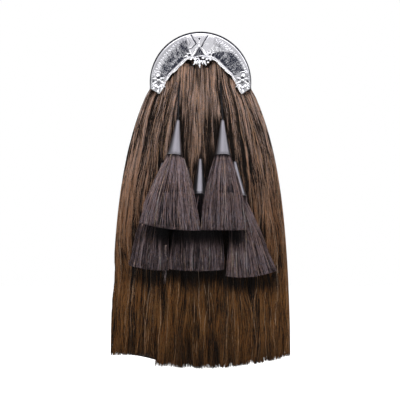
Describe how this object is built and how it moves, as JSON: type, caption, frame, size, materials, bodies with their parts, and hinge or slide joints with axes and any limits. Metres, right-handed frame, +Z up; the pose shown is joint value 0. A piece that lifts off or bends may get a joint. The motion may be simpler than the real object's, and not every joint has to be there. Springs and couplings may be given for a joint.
{
  "type": "sporran pouch",
  "caption": "Full-dress sporran pouch: long horsehair front under a silver cantle, bell tassels on thongs, leather pocket with flap and strap loops behind.",
  "frame": {"origin": "middle of the strap line, between the two strap loops and at the centre of the cantle's outer arc", "axes": "+Z up, the front faces -Y, +X is to the right seen from the front"},
  "size_m": [0.2488, 0.0885, 0.4625],
  "materials": {
    "silver": "polished with darkened engraving",
    "nickel": "satin",
    "black_leather": "semi-gloss grain",
    "cone_leather": "smooth, polished",
    "brown_hair": "glossy strands",
    "dark_hair": "glossy strands"
  },
  "bodies": {
    "root": {"cantle_plate": "silver", "thistle_left": "silver", "thistle_right": "silver", "centre_mount": "silver", "leather_backing": "black_leather", "pouch_bag": "black_leather", "pouch_flap": "black_leather", "flap_stud": "nickel", "strap_loop_left": "black_leather", "strap_loop_right": "black_leather", "hair_body": "brown_hair", "thong_upper_left": "black_leather", "thong_upper_right": "black_leather", "thong_lower_left": "black_leather", "thong_lower_middle": "black_leather", "thong_lower_right": "black_leather", "cone_upper_left": "cone_leather", "cone_upper_right": "cone_leather", "cone_lower_left": "cone_leather", "cone_lower_middle": "cone_leather", "cone_lower_right": "cone_leather", "tassel_upper_left": "dark_hair", "tassel_upper_right": "dark_hair", "tassel_lower_left": "dark_hair", "tassel_lower_middle": "dark_hair", "tassel_lower_right": "dark_hair"}
  },
  "joints": []
}
